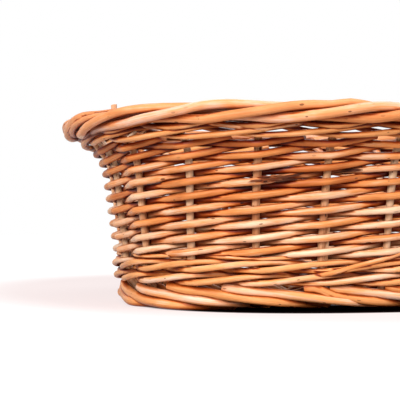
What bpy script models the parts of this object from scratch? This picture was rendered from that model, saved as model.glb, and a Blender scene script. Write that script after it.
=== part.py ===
"""A low oval dog basket woven of buff willow, rod by rod.

Its rods are the base sticks and weavers, the stakes, the wales, the siding, the foot and the border.
Metres, +Z up. The origin is on the floor under the middle of the basket. The front looks along -Y.
"""

import math

import bmesh
import bpy
import numpy as np

MM = 0.001

# Plan of the basket, measured over the foot
FOOT_HALF_LENGTH = 198 * MM
FOOT_HALF_WIDTH = 150 * MM
OUTLINE_POWER = 2.45  # 2 is a true ellipse, and more is squarer

# Number of base sticks: every stick end has one stake beside it
CROSS_STICKS = 7
LONG_STICKS = 3
STAKE_COUNT = 2 * (CROSS_STICKS + LONG_STICKS)

# Rod radii
STAKE_RADIUS = 3.1 * MM
SIDING_RADIUS = 2.6 * MM
WALE_RADIUS = 2.2 * MM
FOOT_RADIUS = 4.2 * MM
BORDER_RADIUS = 3.9 * MM
CROSS_STICK_RADIUS = 3.5 * MM
SPLIT_RADIUS = 5.5 * MM  # half the cross stick's height where its split is held open
LONG_STICK_RADIUS = 2.7 * MM
WEAVER_RADIUS = 3.5 * MM
CLEARANCE = 0.3 * MM  # between rods that touch in the real basket

# Base
BASE_HEIGHT = 14 * MM  # the middle of the sticks above the floor
CROSS_STICK_PITCH = 25 * MM
LONG_STICK_PITCH = 21 * MM
SLATH_MARGIN = 13 * MM  # from the outer sticks of the tied frame to where the stick ends fan out
STICK_END_SETBACK = 17 * MM  # stick ends, inside the foot's outline
LAST_RING_SETBACK = 4 * MM  # last turn of weaving, inside the stick ends
TAIL_LENGTH = 20 * MM  # how far a stake runs in beside its stick
TAIL_PASS = 1.5  # weaver radii inside a tail's end where the weavers start to pass over stick and tail
KINK_LIFT = 1.5  # height of a stake's kink above its tail, in stake radii

# Wall, as a profile of its middle surface
WALL_LEAN = math.radians(8.3)
WALL_SETBACK = 9.2 * MM  # at the foot of the profile, inside the foot's outline
PROFILE_START = 8 * MM  # height of the foot of the profile
STRAIGHT_RISE = 114 * MM  # length of the straight wall, along the slope
BRIM_RADIUS = 50 * MM  # the bend out to the brim
BRIM_ANGLE = math.radians(55)
STAKE_SLANT = math.radians(2.5)  # stakes lean sideways, to the right when seen from outside
SIDING_ROWS = 18
SIDING_ROW_GAP = 0.95 * MM  # between one row and the next
SIDING_END = 0.1  # stake spacings that a rod goes on past its first and last stake
BOTTOM_WALE_ROUNDS = 2
TOP_WALE_ROUNDS = 1
TOP_WALE_GAP = 1.5 * MM  # the rows are less tight under the border
WALE_ROW = 2.7 * MM  # half the height between the two rods in front of a stake
WALE_STEP = 4 * WALE_ROW  # from one round to the next
WALE_CLIMB = 2  # stake spacings over which a rod steps up to its next round

# Foot: rods that slant down to the right. Places along a rod are in stake spacings from its stake,
# and depths behind the face of the foot and heights are in foot rod radii
FOOT_TOP = 19 * MM  # middle of a foot rod where it comes out
FOOT_DROP = 8.1 * MM  # fall of a foot rod over one stake spacing
FOOT_SEAT = 0.5 * MM  # the stakes stand this much nearer the foot than round rods would let them
FOOT_ROOT = 0.36  # where a rod starts, behind the face
FOOT_ROOT_DEPTH = 1.6
FOOT_RUN = (0.5, 1, 1.5, 2)  # where it lies on the face
FOOT_DIVE = 2.35  # where it turns in under the next rods
FOOT_DIVE_DEPTH = 0.8
FOOT_DIVE_LIFT = 0.25  # above the height of its tip
FOOT_TIP = (2.65, 2.95)  # where it lies under the edge
FOOT_TIP_DEPTH = 2
FOOT_TIP_HEIGHT = 0.8  # less than 1, so that the floor cuts a flat

# Border: every stake is laid down as a strand that rolls round a flat oval with round ends
BORDER_OFFSET = 35 * MM  # middle of the border, outside the foot's outline
BORDER_HEIGHT = 165.6 * MM
BORDER_HALF_WIDTH = 15 * MM  # of the line that the strands' middles follow
BORDER_HALF_HEIGHT = 4.9 * MM
BORDER_START = -4 * MM  # where the roll starts, from the middle of the underside outward
BORDER_SHIFT = 11.5 * MM  # how far a strand rolls over one stake spacing
BORDER_SPACINGS = 5
BORDER_LEAD = 0.15  # stake spacings from the top of the wall to the start of the roll

# Colours of the willow, linear
STAKE_COLOUR = (0.48, 0.24, 0.11)
SIDING_COLOUR = (0.66, 0.31, 0.12)
WALE_COLOUR = (0.62, 0.28, 0.11)
FOOT_COLOUR = (0.64, 0.29, 0.10)
BASE_COLOUR = (0.50, 0.24, 0.10)
ROUGHNESS = 0.5

TABLE_STEPS = 4000


def signed_power(value, power):
    return np.sign(value) * np.abs(value) ** power


def outline_table():
    """The foot's outline as points at fractions of its length, from the front middle towards +X."""
    turn = np.linspace(-0.5 * math.pi, 1.5 * math.pi, TABLE_STEPS + 1)
    x = FOOT_HALF_LENGTH * signed_power(np.cos(turn), 2 / OUTLINE_POWER)
    y = FOOT_HALF_WIDTH * signed_power(np.sin(turn), 2 / OUTLINE_POWER)
    run = np.concatenate([[0], np.cumsum(np.hypot(np.diff(x), np.diff(y)))])
    return run[-1], run / run[-1], x, y


OUTLINE_LENGTH, OUTLINE_RUN, OUTLINE_X, OUTLINE_Y = outline_table()
SPACING = OUTLINE_LENGTH / STAKE_COUNT


def outline_normal(x, y):
    nx = signed_power(x / FOOT_HALF_LENGTH, OUTLINE_POWER - 1) / FOOT_HALF_LENGTH
    ny = signed_power(y / FOOT_HALF_WIDTH, OUTLINE_POWER - 1) / FOOT_HALF_WIDTH
    length = math.hypot(nx, ny)
    return nx / length, ny / length


def plan(u, offset):
    """(x, y) at u stake spacings round from the front middle, offset outward from the foot's outline."""
    share = (u / STAKE_COUNT) % 1
    x = float(np.interp(share, OUTLINE_RUN, OUTLINE_X))
    y = float(np.interp(share, OUTLINE_RUN, OUTLINE_Y))
    nx, ny = outline_normal(x, y)
    return x + offset * nx, y + offset * ny


def plan_turn(u):
    """Angle that the outline turns through over one stake spacing, about u."""
    before = outline_normal(*plan(u - 0.5, 0))
    after = outline_normal(*plan(u + 0.5, 0))
    return math.acos(min(1, before[0] * after[0] + before[1] * after[1]))


def profile(rise):
    """(offset, height, lean) of the wall's middle surface, at a length along its slope."""
    straight = min(rise, STRAIGHT_RISE)
    offset = -WALL_SETBACK + straight * math.sin(WALL_LEAN)
    height = PROFILE_START + straight * math.cos(WALL_LEAN)
    bend = max(0, rise - STRAIGHT_RISE) / BRIM_RADIUS
    lean = min(WALL_LEAN + bend, BRIM_ANGLE)
    offset += BRIM_RADIUS * (math.cos(WALL_LEAN) - math.cos(lean))
    height += BRIM_RADIUS * (math.sin(lean) - math.sin(WALL_LEAN))
    rest = max(0, rise - STRAIGHT_RISE - BRIM_RADIUS * (BRIM_ANGLE - WALL_LEAN))
    return offset + rest * math.sin(BRIM_ANGLE), height + rest * math.cos(BRIM_ANGLE), lean


def drift(rise):
    """How far the stakes have slanted along the wall at this rise, in stake spacings."""
    return rise * math.tan(STAKE_SLANT) / SPACING


def wall(u, rise, out):
    """A point at stake u on the wall, a distance outward from its middle surface."""
    offset, height, lean = profile(rise)
    x, y = plan(u + drift(rise), offset + out * math.cos(lean))
    return x, y, height - out * math.sin(lean)


def between(u, share, rise, out):
    """A point a share of the way from stake u to the next. The rods run straight from stake to stake."""
    ends = zip(wall(u, rise, out), wall(u + 1, rise, out))
    return tuple(here + share * (there - here) for here, there in ends)


def rise_at(height):
    """The rise of a height on the straight part of the wall."""
    return (height - PROFILE_START) / math.cos(WALL_LEAN)


def wale_top(rise, rounds):
    """The rise of the highest rod of a wale whose lowest round is centred on this rise."""
    return rise + (rounds - 1) * WALE_STEP + WALE_ROW


# What rests on what, from the foot up
FOOT_CLEAR = 2 * FOOT_RADIUS + STAKE_RADIUS - FOOT_SEAT  # from the foot's face back to a stake's middle
BOTTOM_WALE_RISE = rise_at(FOOT_TOP + FOOT_RADIUS + CLEARANCE + WALE_RADIUS + WALE_ROW)
BOTTOM_WALE_TOP = wale_top(BOTTOM_WALE_RISE, BOTTOM_WALE_ROUNDS)
SIDING_PITCH = 2 * SIDING_RADIUS + SIDING_ROW_GAP
FIRST_SIDING_RISE = BOTTOM_WALE_TOP + WALE_RADIUS + CLEARANCE + SIDING_RADIUS
LAST_SIDING_RISE = FIRST_SIDING_RISE + (SIDING_ROWS - 1) * SIDING_PITCH
TOP_WALE_RISE = LAST_SIDING_RISE + SIDING_RADIUS + TOP_WALE_GAP + WALE_RADIUS + WALE_ROW
WALL_TOP = wale_top(TOP_WALE_RISE, TOP_WALE_ROUNDS) + WALE_RADIUS
BRIM_BEND = BRIM_RADIUS * (BRIM_ANGLE - WALL_LEAN)  # length of the bend


def reach(u, radius, run, side):
    """How far a rod of this radius bends outward or inward to pass a stake, crossing over in this run."""
    contact = STAKE_RADIUS + radius + CLEARANCE
    slope = math.atan(contact / run)
    return side * contact / math.cos(slope + side * plan_turn(u) / 2)


def new_collection(name, hidden):
    collection = bpy.data.collections.new(name)
    bpy.context.scene.collection.children.link(collection)
    collection.hide_render = hidden
    return collection


def willow(name, colour):
    material = bpy.data.materials.new(name)
    material.use_nodes = True
    surface = material.node_tree.nodes["Principled BSDF"]
    surface.inputs["Base Color"].default_value = (*colour, 1)
    surface.inputs["Roughness"].default_value = ROUGHNESS
    surface.inputs["Metallic"].default_value = 0
    material.diffuse_color = (*colour, 1)
    return material


def rod(name, points, radii, colour, collection):
    """A willow rod as a tube along these points, with one radius for all or one for each."""
    if isinstance(radii, float):
        radii = [radii] * len(points)
    curve = bpy.data.curves.new(name, "CURVE")
    curve.dimensions = "3D"
    curve.bevel_depth = radii[0]
    curve.bevel_resolution = 1
    curve.use_fill_caps = True
    spline = curve.splines.new("POLY")
    spline.points.add(len(points) - 1)
    for point, place, radius in zip(spline.points, points, radii):
        point.co = (*place, 1)
        point.radius = radius / radii[0]
    curve.materials.append(willow(name, colour))
    tube = bpy.data.objects.new(name, curve)
    collection.objects.link(tube)
    return tube


def as_mesh(tube):
    """The tube as a closed mesh object of the same name, so that it can be cut or joined."""
    bpy.context.view_layer.update()
    graph = bpy.context.evaluated_depsgraph_get()
    mesh = bpy.data.meshes.new_from_object(tube.evaluated_get(graph))
    cage = bmesh.new()
    cage.from_mesh(mesh)
    bmesh.ops.remove_doubles(cage, verts=cage.verts, dist=0.01 * MM)
    cage.to_mesh(mesh)
    cage.free()
    name = tube.name
    solid = bpy.data.objects.new(name, mesh)
    solid.matrix_world = tube.matrix_world
    for collection in tube.users_collection:
        collection.objects.link(solid)
    bpy.data.objects.remove(tube)
    solid.name = name
    return solid


def box_cutter(name, centre, size, collection):
    bpy.ops.mesh.primitive_cube_add(size=1, location=centre)
    cutter = bpy.context.object
    cutter.name = name
    cutter.scale = size
    for other in list(cutter.users_collection):
        other.objects.unlink(cutter)
    collection.objects.link(cutter)
    cutter.hide_render = True
    cutter.display_type = "WIRE"
    return cutter


def boolean(target, operation, operand):
    modifier = target.modifiers.new(operation.lower(), "BOOLEAN")
    modifier.operation = operation
    if isinstance(operand, bpy.types.Collection):
        modifier.operand_type = "COLLECTION"
        modifier.collection = operand
    else:
        modifier.object = operand


def stick_reach(index):
    """Where stake index's stick end starts to fan out, and the way the stick runs there."""
    quarter = CROSS_STICKS // 2
    half_length = CROSS_STICK_PITCH * (CROSS_STICKS - 1) / 2 + SLATH_MARGIN + LONG_STICK_RADIUS
    half_width = LONG_STICK_PITCH * (LONG_STICKS - 1) / 2 + SLATH_MARGIN
    place = (index + quarter) % STAKE_COUNT
    half = STAKE_COUNT // 2
    if place % half < CROSS_STICKS:
        facing = 1 if place < half else -1
        across = facing * (place % half - (CROSS_STICKS - 1) / 2)
        return (across * CROSS_STICK_PITCH, -facing * half_width), (0, -facing)
    facing = 1 if place < half else -1
    along = facing * (place % half - CROSS_STICKS - (LONG_STICKS - 1) / 2)
    return (facing * half_length, along * LONG_STICK_PITCH), (facing, 0)


def is_cross(index):
    return (index + CROSS_STICKS // 2) % (STAKE_COUNT // 2) < CROSS_STICKS


def stick_radius(index):
    return CROSS_STICK_RADIUS if is_cross(index) else LONG_STICK_RADIUS


def beside(index):
    """From the middle of a stick to the middle of the stake beside it."""
    return stick_radius(index) + STAKE_RADIUS + CLEARANCE


def spoke_curve(index, share):
    """(x, y) on the smooth line of stake index's stick end, from 0 at the tied frame to 1 at the tip."""
    (x0, y0), (dx, dy) = stick_reach(index)
    u = index - beside(index) / SPACING
    x3, y3 = plan(u, -STICK_END_SETBACK)
    nx, ny = outline_normal(*plan(u, 0))
    third = math.hypot(x3 - x0, y3 - y0) / 3
    xs = (x0, x0 + third * dx, x3 - third * nx, x3)
    ys = (y0, y0 + third * dy, y3 - third * ny, y3)
    rest = 1 - share
    weights = (rest**3, 3 * rest**2 * share, 3 * rest * share**2, share**3)
    x = sum(w * v for w, v in zip(weights, xs))
    y = sum(w * v for w, v in zip(weights, ys))
    return x, y


SHORTEST_SPOKE = min(
    math.dist(spoke_curve(index, 0), spoke_curve(index, 1)) for index in range(STAKE_COUNT)
)
TAIL_SHARE = 1 - TAIL_LENGTH / SHORTEST_SPOKE
STICK_SHARES = (0, TAIL_SHARE / 2, TAIL_SHARE, 1)


def spoke(index, share, sideways):
    """(x, y) on the stick end, which is straight from one of its shares to the next."""
    after = next(step for step in range(1, len(STICK_SHARES)) if share <= STICK_SHARES[step])
    low, high = STICK_SHARES[after - 1], STICK_SHARES[after]
    x0, y0 = spoke_curve(index, low)
    x1, y1 = spoke_curve(index, high)
    along = (share - low) / (high - low)
    length = math.dist((x0, y0), (x1, y1))
    tx, ty = (x1 - x0) / length, (y1 - y0) / length
    return x0 + along * (x1 - x0) - sideways * ty, y0 + along * (y1 - y0) + sideways * tx


def base_stick(name, first, last, collection):
    """One stick, from stake first's end to stake last's end across the base."""
    points = [(*spoke(first, share, 0), BASE_HEIGHT) for share in reversed(STICK_SHARES)]
    points += [(*spoke(last, share, 0), BASE_HEIGHT) for share in STICK_SHARES]
    radii = [stick_radius(first)] * len(points)
    if not is_cross(first):
        return rod(name, points, radii, BASE_COLOUR, collection)
    swell = LONG_STICK_PITCH * (LONG_STICKS - 1) / 2 + LONG_STICK_RADIUS + 2 * CLEARANCE
    x = points[len(STICK_SHARES)][0]
    middle = len(STICK_SHARES)
    points[middle:middle] = [(x, side * swell, BASE_HEIGHT) for side in (-1, 1)]
    radii[middle:middle] = [SPLIT_RADIUS, SPLIT_RADIUS]
    return rod(name, points, radii, BASE_COLOUR, collection)


def base_sticks(parts, cutters):
    half_cross = (CROSS_STICKS - 1) / 2
    length = 2 * CROSS_STICK_PITCH * CROSS_STICKS
    gap = 2 * (LONG_STICK_RADIUS + CLEARANCE)
    half = STAKE_COUNT // 2
    slots = []
    for number in range(LONG_STICKS):
        y = (number - (LONG_STICKS - 1) / 2) * LONG_STICK_PITCH
        slots.append(box_cutter(f"split_{number + 1}", (0, y, BASE_HEIGHT), (length, gap, gap), cutters))
        right = CROSS_STICKS // 2 + 1 + number
        left = half + CROSS_STICKS // 2 + LONG_STICKS - number
        base_stick(f"base_stick_long_{number + 1}", left, right, parts)
    for number in range(CROSS_STICKS):
        front = int(number - half_cross) % STAKE_COUNT
        back = int(half - (number - half_cross)) % STAKE_COUNT
        stick = as_mesh(base_stick(f"base_stick_cross_{number + 1}", front, back, parts))
        for slot in slots:
            boolean(stick, "DIFFERENCE", slot)


def weaver_lift(index, share, width):
    """Height of a base weaver over or under the stick end, so that its slopes clear the stick."""
    widest = max(stick_radius(index), STAKE_RADIUS) if width else stick_radius(index)
    contact = widest + WEAVER_RADIUS + CLEARANCE
    here = spoke(index, share, 0)
    nearest = min(math.dist(here, spoke(other % STAKE_COUNT, share, 0)) for other in (index - 1, index + 1))
    slope = math.atan(2 * contact / (nearest - width))
    return contact / math.cos(slope)


def base_weavers(parts):
    """Two rods that chase each other outward, each over the sticks that the other goes under."""
    turn_width = 2 * (WEAVER_RADIUS + CLEARANCE)
    first = 2 * WEAVER_RADIUS / SHORTEST_SPOKE
    last = 1 - LAST_RING_SETBACK / SHORTEST_SPOKE
    turns = int((last - first) * SHORTEST_SPOKE / turn_width)
    pitch = (last - first) / turns
    paired = TAIL_SHARE - TAIL_PASS * WEAVER_RADIUS / SHORTEST_SPOKE
    for number in range(2):
        points = []
        for step in range(turns * STAKE_COUNT // 2 + 1):
            index = (step + number * STAKE_COUNT // 2) % STAKE_COUNT
            share = first + 2 * pitch * step / STAKE_COUNT
            over = 1 if (index + number) % 2 else -1
            width = beside(index) if share > paired else 0
            lift = BASE_HEIGHT + over * weaver_lift(index, share, width)
            points.append((*spoke(index, share, 0), lift))
            if width:
                points.append((*spoke(index, share, width), lift))
        rod(f"base_weaver_{number + 1}", points, WEAVER_RADIUS, BASE_COLOUR, parts)


def border_point(u, roll):
    """A point on the border, at a distance round it from the middle of its underside."""
    flat = BORDER_HALF_WIDTH - BORDER_HALF_HEIGHT
    bend = math.pi * BORDER_HALF_HEIGHT
    if roll < flat:
        out, up = roll, -BORDER_HALF_HEIGHT
    elif roll < flat + bend:
        angle = (roll - flat) / BORDER_HALF_HEIGHT
        out, up = flat + BORDER_HALF_HEIGHT * math.sin(angle), -BORDER_HALF_HEIGHT * math.cos(angle)
    elif roll < 3 * flat + bend:
        out, up = 2 * flat + bend - roll, BORDER_HALF_HEIGHT
    else:
        angle = (roll - 3 * flat - bend) / BORDER_HALF_HEIGHT
        out, up = -flat - BORDER_HALF_HEIGHT * math.sin(angle), BORDER_HALF_HEIGHT * math.cos(angle)
    return *plan(u, BORDER_OFFSET + out), BORDER_HEIGHT + up


def stake(index, parts):
    """One stake: tail in the base, kink, wall, brim and its strand of the border."""
    points = [(*spoke(index, share, beside(index)), BASE_HEIGHT) for share in (TAIL_SHARE, 1)]
    points.append((*plan(index, -FOOT_CLEAR - STAKE_RADIUS), BASE_HEIGHT))
    points.append((*plan(index, -FOOT_CLEAR), BASE_HEIGHT + KINK_LIFT * STAKE_RADIUS))
    points.append(wall(index, BOTTOM_WALE_RISE - 2 * WALE_ROW, 0))
    for share in (0, 1 / 3, 2 / 3, 1):
        points.append(wall(index, STRAIGHT_RISE + share * BRIM_BEND, 0))
    if WALL_TOP > STRAIGHT_RISE + BRIM_BEND + STAKE_RADIUS:
        points.append(wall(index, WALL_TOP, 0))
    radii = [STAKE_RADIUS] * len(points)
    start = index + drift(WALL_TOP) + BORDER_LEAD
    for step in range(2 * BORDER_SPACINGS + 1):
        points.append(border_point(start + step / 2, BORDER_START + BORDER_SHIFT * step / 2))
        radii.append(BORDER_RADIUS)
    rod(f"stake_{index + 1:02d}", points, radii, STAKE_COLOUR, parts)


def siding_rod(index, parts):
    """One rod of the siding: behind a stake, then in front of the next, one row higher at each."""
    points = []
    for row in range(SIDING_ROWS):
        side = 1 if row % 2 else -1
        out = reach(index + row, SIDING_RADIUS, SPACING / 2, side)
        points.append(wall(index + row, FIRST_SIDING_RISE + row * SIDING_PITCH, out))
    for end, inner in ((0, 1), (-1, -2)):
        points[end] = tuple(p + SIDING_END * (p - q) for p, q in zip(points[end], points[inner]))
    rod(f"siding_rod_{index + 1:02d}", points, SIDING_RADIUS, SIDING_COLOUR, parts)


# Side and height of a wale rod, by its state at a stake and half a spacing after it
WALE_STATES = {
    (0, 0): (-1, 0),
    (0, 0.5): (0, -1),
    (1, 0): (1, -1),
    (1, 0.5): (1, None),
    (2, 0): (1, 1),
    (2, 0.5): (0, 1),
}


def wale(name, start, rise, rounds, parts):
    """Three rods, each in front of two stakes and behind the third. Rounds step up at the back."""
    last = rounds * (STAKE_COUNT - 1)
    for number in range(3):
        points = []
        end = number + 3 * ((last - number) // 3)
        for place in range(number, end + 1):
            state = (place - number) % 3
            for ahead in (0, 0.5):
                turn, within = divmod(place + ahead, STAKE_COUNT)
                climb = max(0, 1 - (STAKE_COUNT - within) / WALE_CLIMB) if rounds > 1 else 0
                level = rise + WALE_STEP * (turn + climb)
                side, height = WALE_STATES[state, ahead]
                if height is None or (ahead and place == end):
                    continue
                out = reach(start + place, WALE_RADIUS, SPACING / 2, side) if side else 0
                points.append(between(start + place, ahead, level + height * WALE_ROW, out))
        rod(f"{name}_{number + 1}", points, WALE_RADIUS, WALE_COLOUR, parts)


def foot_rod(index, collection):
    """One rod of the foot: out between two stakes, down past the next two and in under the edge."""
    face = -FOOT_RADIUS
    tip_height = FOOT_TIP_HEIGHT * FOOT_RADIUS
    points = [(*plan(index + FOOT_ROOT, face - FOOT_ROOT_DEPTH * FOOT_RADIUS), FOOT_TOP)]
    for ahead in FOOT_RUN:
        points.append((*plan(index + ahead, face), FOOT_TOP - (ahead - FOOT_RUN[0]) * FOOT_DROP))
    dive_height = tip_height + FOOT_DIVE_LIFT * FOOT_RADIUS
    points.append((*plan(index + FOOT_DIVE, face - FOOT_DIVE_DEPTH * FOOT_RADIUS), dive_height))
    for ahead in FOOT_TIP:
        points.append((*plan(index + ahead, face - FOOT_TIP_DEPTH * FOOT_RADIUS), tip_height))
    return as_mesh(rod(f"foot_rod_{index + 1:02d}", points, FOOT_RADIUS, FOOT_COLOUR, collection))


def foot_border(parts, cutters, rods):
    """The foot rods pressed into one ring, cut flat where the basket stands."""
    joined = foot_rod(0, parts)
    joined.name = "foot_border"
    for index in range(1, STAKE_COUNT):
        piece = foot_rod(index, rods)
        piece.hide_render = True
        piece.display_type = "WIRE"
    boolean(joined, "UNION", rods)
    side = 3 * FOOT_HALF_LENGTH
    floor = box_cutter("floor_cut", (0, 0, -side / 2), (side, side, side), cutters)
    boolean(joined, "DIFFERENCE", floor)


def main():
    for old in list(bpy.data.objects):
        bpy.data.objects.remove(old)
    parts = new_collection("dog_basket", False)
    cutters = new_collection("cutters", True)
    rods = new_collection("foot_rods", True)
    base_sticks(parts, cutters)
    base_weavers(parts)
    for index in range(STAKE_COUNT):
        stake(index, parts)
        siding_rod(index, parts)
    back = STAKE_COUNT // 2
    wale("bottom_wale", back, BOTTOM_WALE_RISE, BOTTOM_WALE_ROUNDS, parts)
    wale("top_wale", back, TOP_WALE_RISE, TOP_WALE_ROUNDS, parts)
    foot_border(parts, cutters, rods)


main()
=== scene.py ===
"""The looks of an oval willow dog basket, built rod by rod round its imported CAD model."""

import math

import bpy
import numpy as np
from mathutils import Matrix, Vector
from mathutils.bvhtree import BVHTree

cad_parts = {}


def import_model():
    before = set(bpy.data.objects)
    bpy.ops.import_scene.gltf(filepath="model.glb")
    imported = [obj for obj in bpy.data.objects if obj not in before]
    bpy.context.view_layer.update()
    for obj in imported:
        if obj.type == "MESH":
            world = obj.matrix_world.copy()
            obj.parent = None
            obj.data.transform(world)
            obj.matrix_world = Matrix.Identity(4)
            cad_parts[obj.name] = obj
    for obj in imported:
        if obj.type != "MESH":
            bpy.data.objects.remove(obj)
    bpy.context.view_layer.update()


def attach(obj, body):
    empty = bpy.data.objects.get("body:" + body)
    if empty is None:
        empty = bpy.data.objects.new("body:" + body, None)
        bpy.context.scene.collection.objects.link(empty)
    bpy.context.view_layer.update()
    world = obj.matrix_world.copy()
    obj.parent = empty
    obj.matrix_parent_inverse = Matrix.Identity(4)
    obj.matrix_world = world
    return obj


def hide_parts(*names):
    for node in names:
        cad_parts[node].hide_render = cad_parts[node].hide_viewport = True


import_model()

MM = 0.001
chance = np.random.default_rng(7)

# The sizes of the CAD model
FOOT_HALF_LENGTH, FOOT_HALF_WIDTH, OUTLINE_POWER = 198 * MM, 150 * MM, 2.45
CROSS_STICKS, LONG_STICKS = 7, 3
STAKES = 2 * (CROSS_STICKS + LONG_STICKS)
STAKE_RADIUS, SIDING_RADIUS, WALE_RADIUS = 3.1 * MM, 2.6 * MM, 2.2 * MM
FOOT_RADIUS, BORDER_RADIUS = 4.2 * MM, 3.9 * MM
CROSS_STICK_RADIUS, LONG_STICK_RADIUS, WEAVER_RADIUS = 3.5 * MM, 2.7 * MM, 3.5 * MM
CLEARANCE = 0.3 * MM
BASE_HEIGHT, CROSS_STICK_PITCH, LONG_STICK_PITCH = 14 * MM, 25 * MM, 21 * MM
SLATH_MARGIN, STICK_END_SETBACK, LAST_RING_SETBACK = 13 * MM, 17 * MM, 4 * MM
TAIL_LENGTH, TAIL_PASS, KINK_LIFT = 20 * MM, 1.5, 1.5
WALL_LEAN, STAKE_SLANT, BRIM_ANGLE = math.radians(8.3), math.radians(2.5), math.radians(55)
WALL_SETBACK, PROFILE_START, STRAIGHT_RISE, BRIM_RADIUS = 9.2 * MM, 8 * MM, 114 * MM, 50 * MM
SIDING_ROWS, SIDING_ROW_GAP, SIDING_END = 18, 0.95 * MM, 0.1
WALE_ROW, WALE_CLIMB, TOP_WALE_GAP = 2.7 * MM, 2, 1.5 * MM
WALE_STEP = 4 * WALE_ROW
FOOT_TOP, FOOT_SEAT = 19 * MM, 0.5 * MM
BORDER_OFFSET, BORDER_HEIGHT = 35 * MM, 165.6 * MM
BORDER_HALF_WIDTH, BORDER_HALF_HEIGHT = 15 * MM, 4.9 * MM
BORDER_START, BORDER_SHIFT, BORDER_SPACINGS, BORDER_LEAD = -4 * MM, 11.5 * MM, 5, 0.15

TABLE_STEPS = 4000
turn = np.linspace(-0.5 * math.pi, 1.5 * math.pi, TABLE_STEPS + 1)


def signed_power(value, power):
    return np.sign(value) * np.abs(value) ** power


OUTLINE_X = FOOT_HALF_LENGTH * signed_power(np.cos(turn), 2 / OUTLINE_POWER)
OUTLINE_Y = FOOT_HALF_WIDTH * signed_power(np.sin(turn), 2 / OUTLINE_POWER)
OUTLINE_RUN = np.concatenate([[0], np.cumsum(np.hypot(np.diff(OUTLINE_X), np.diff(OUTLINE_Y)))])
SPACING = OUTLINE_RUN[-1] / STAKES
OUTLINE_RUN = OUTLINE_RUN / OUTLINE_RUN[-1]


def outline_normal(x, y):
    nx = signed_power(x / FOOT_HALF_LENGTH, OUTLINE_POWER - 1) / FOOT_HALF_LENGTH
    ny = signed_power(y / FOOT_HALF_WIDTH, OUTLINE_POWER - 1) / FOOT_HALF_WIDTH
    length = math.hypot(nx, ny)
    return nx / length, ny / length


def plan(u, offset):
    """(x, y) at u stake spacings round from the front middle, offset outward from the foot's outline."""
    share = (u / STAKES) % 1
    x = float(np.interp(share, OUTLINE_RUN, OUTLINE_X))
    y = float(np.interp(share, OUTLINE_RUN, OUTLINE_Y))
    nx, ny = outline_normal(x, y)
    return x + offset * nx, y + offset * ny


def plan_turn(u):
    """How much the foot's outline turns over one spacing about u."""
    before = outline_normal(*plan(u - 0.5, 0))
    after = outline_normal(*plan(u + 0.5, 0))
    return math.acos(min(1, before[0] * after[0] + before[1] * after[1]))


def profile(rise):
    """(offset, height, lean) of the wall's middle surface, at a length along its slope."""
    straight = min(rise, STRAIGHT_RISE)
    offset = -WALL_SETBACK + straight * math.sin(WALL_LEAN)
    height = PROFILE_START + straight * math.cos(WALL_LEAN)
    lean = min(WALL_LEAN + max(0, rise - STRAIGHT_RISE) / BRIM_RADIUS, BRIM_ANGLE)
    offset += BRIM_RADIUS * (math.cos(WALL_LEAN) - math.cos(lean))
    height += BRIM_RADIUS * (math.sin(lean) - math.sin(WALL_LEAN))
    rest = max(0, rise - STRAIGHT_RISE - BRIM_RADIUS * (BRIM_ANGLE - WALL_LEAN))
    return offset + rest * math.sin(BRIM_ANGLE), height + rest * math.cos(BRIM_ANGLE), lean


def drift(rise):
    """How many spacings a slanting stake has moved along at this rise."""
    return rise * math.tan(STAKE_SLANT) / SPACING


def wall(u, rise, out):
    """A point at stake u on the wall, a distance outward from its middle surface."""
    offset, height, lean = profile(rise)
    x, y = plan(u + drift(rise), offset + out * math.cos(lean))
    return x, y, height - out * math.sin(lean)


def between(u, share, rise, out):
    """A point on the straight line from stake u to the next."""
    ends = zip(wall(u, rise, out), wall(u + 1, rise, out))
    return tuple(here + share * (there - here) for here, there in ends)


def reach(u, radius, run, side):
    """How far a rod of this radius bends outward or inward to pass a stake."""
    contact = STAKE_RADIUS + radius + CLEARANCE
    return side * contact / math.cos(math.atan(contact / run) + side * plan_turn(u) / 2)


FOOT_CLEAR = 2 * FOOT_RADIUS + STAKE_RADIUS - FOOT_SEAT
BOTTOM_WALE_HEIGHT = FOOT_TOP + FOOT_RADIUS + CLEARANCE + WALE_RADIUS + WALE_ROW
BOTTOM_WALE_RISE = (BOTTOM_WALE_HEIGHT - PROFILE_START) / math.cos(WALL_LEAN)
BOTTOM_WALE_TOP = BOTTOM_WALE_RISE + WALE_STEP + WALE_ROW
SIDING_PITCH = 2 * SIDING_RADIUS + SIDING_ROW_GAP
FIRST_SIDING_RISE = BOTTOM_WALE_TOP + WALE_RADIUS + CLEARANCE + SIDING_RADIUS
LAST_SIDING_RISE = FIRST_SIDING_RISE + (SIDING_ROWS - 1) * SIDING_PITCH
TOP_WALE_RISE = LAST_SIDING_RISE + SIDING_RADIUS + TOP_WALE_GAP + WALE_RADIUS + WALE_ROW
WALL_TOP = TOP_WALE_RISE + WALE_ROW + WALE_RADIUS
BRIM_BEND = BRIM_RADIUS * (BRIM_ANGLE - WALL_LEAN)

# How the real rods differ from the CAD's even ones
STAKE_WANDER, STRAND_WANDER, SIDING_WANDER = 0.008, 0.2 * MM, 0.2 * MM
WALE_WANDER, FOOT_WANDER, FILLER_WANDER, THIN_WANDER = 0.25 * MM, 0.25 * MM, 0.3 * MM, 0.4 * MM
STAKE_GROWTH, SPLIT_RADIUS, SPLIT_OVERLAP = (1.02, 1.12), 5.2 * MM, 6 * MM
SIDING_BUTT, SIDING_TIP, SIDING_SETTLE = 3.35 * MM, 3.05 * MM, (1.2 * MM, 3.8 * MM)
# The second number on the next line darkens each siding rod towards its tip, at the top of the wall: painted
# shade under the border
BEND_LENGTH, SIDING_TOP_SHADE, SIDING_EASE = 11 * MM, 1.1, 0.3
LAST_SIDING_SHARE, LAST_SIDING_OUT = 0.62, -1.2 * MM
WALE_BUTT, WALE_TIP = 2.85 * MM, 2.6 * MM
TOP_WALE_LIFT, TOP_WALE_SPREAD, BOTTOM_WALE_SPREAD = 1.9 * MM, 1.35, 1.12
FILLER_RADIUS, FILLER_RISE = 2.5 * MM, TOP_WALE_RISE + 9.8 * MM
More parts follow.
